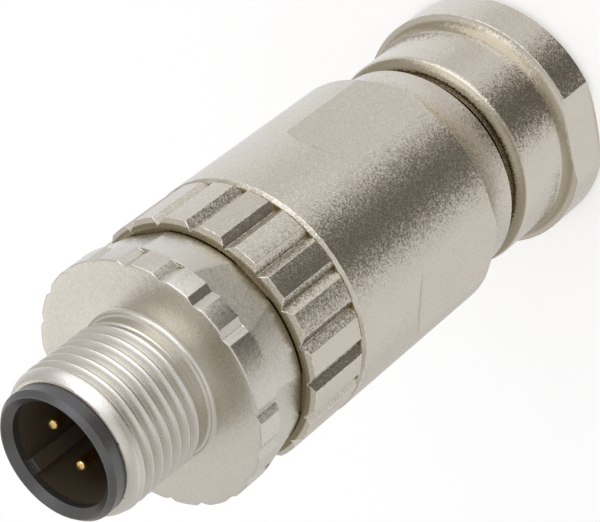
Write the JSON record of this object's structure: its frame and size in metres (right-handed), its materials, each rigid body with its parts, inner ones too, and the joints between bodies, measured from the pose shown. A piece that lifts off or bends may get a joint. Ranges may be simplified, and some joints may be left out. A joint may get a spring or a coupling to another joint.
{
  "type": "m12 connector",
  "caption": "Straight male M12 circular connector in a nickel plated metal housing, with a grooved ring, a coupling screw and a screw-on cable clamp, for wiring in the field.",
  "frame": {"origin": "centre of the rear face of the pressure nut, where the connector stands on its cable end", "axes": "+Z along the connector's axis towards the contacts; +X through the contact at angle 0"},
  "size_m": [0.0207, 0.0206, 0.0561],
  "materials": {
    "nickel_body": "satin nickel plate over brass, fine bead-blasted",
    "spring_brass": "tinned spring bronze",
    "spring_steel": "plain zinc plate",
    "contact_gold": "gold plated brass",
    "black_plastic": "fine matt moulding",
    "seal_rubber": "soft, smooth"
  },
  "bodies": {
    "pressure_nut": {"pressure_nut": "nickel_body"},
    "cable_clamp": {"clamp_cage": "black_plastic", "cable_seal": "seal_rubber", "thrust_washer": "spring_brass"},
    "sleeve": {"sleeve": "nickel_body", "shield_ring": "spring_brass"},
    "housing_seal": {"housing_o_ring": "seal_rubber"},
    "contact_head": {"grip_ring": "nickel_body", "contact_carrier": "black_plastic", "terminal_block": "black_plastic", "contact_1": "contact_gold", "contact_2": "contact_gold", "contact_3": "contact_gold", "contact_4": "contact_gold", "terminal_screws": "spring_steel", "carrier_o_ring": "seal_rubber", "carrier_clip": "spring_steel"},
    "coupling_screw": {"coupling_screw": "nickel_body"}
  },
  "joints": [
    {"name": "clamp_turn", "type": "hinge", "parent": "pressure_nut", "child": "cable_clamp", "pos_m": [0, 0, 0.008], "axis": [0, 0, 1], "range_deg": [0, 2160]},
    {"name": "sleeve_lift", "type": "slide", "parent": "cable_clamp", "child": "sleeve", "axis": [0, 0, 1], "range_m": [0, 0.006]},
    {"name": "seal_lift", "type": "slide", "parent": "sleeve", "child": "housing_seal", "axis": [0, 0, 1], "range_m": [0, 0.006]},
    {"name": "head_turn", "type": "hinge", "parent": "housing_seal", "child": "contact_head", "pos_m": [0, 0, 0.033], "axis": [0, 0, 1], "range_deg": [0, 2160]},
    {"name": "coupling_spin", "type": "hinge", "parent": "contact_head", "child": "coupling_screw", "pos_m": [0, 0, 0.043], "axis": [0, 0, 1], "continuous": true}
  ],
  "couplings": [
    {"joint": "sleeve_lift", "follows": "clamp_turn", "m_per_rad": 0.00015915},
    {"joint": "seal_lift", "follows": "head_turn", "m_per_rad": 0.00015915}
  ]
}
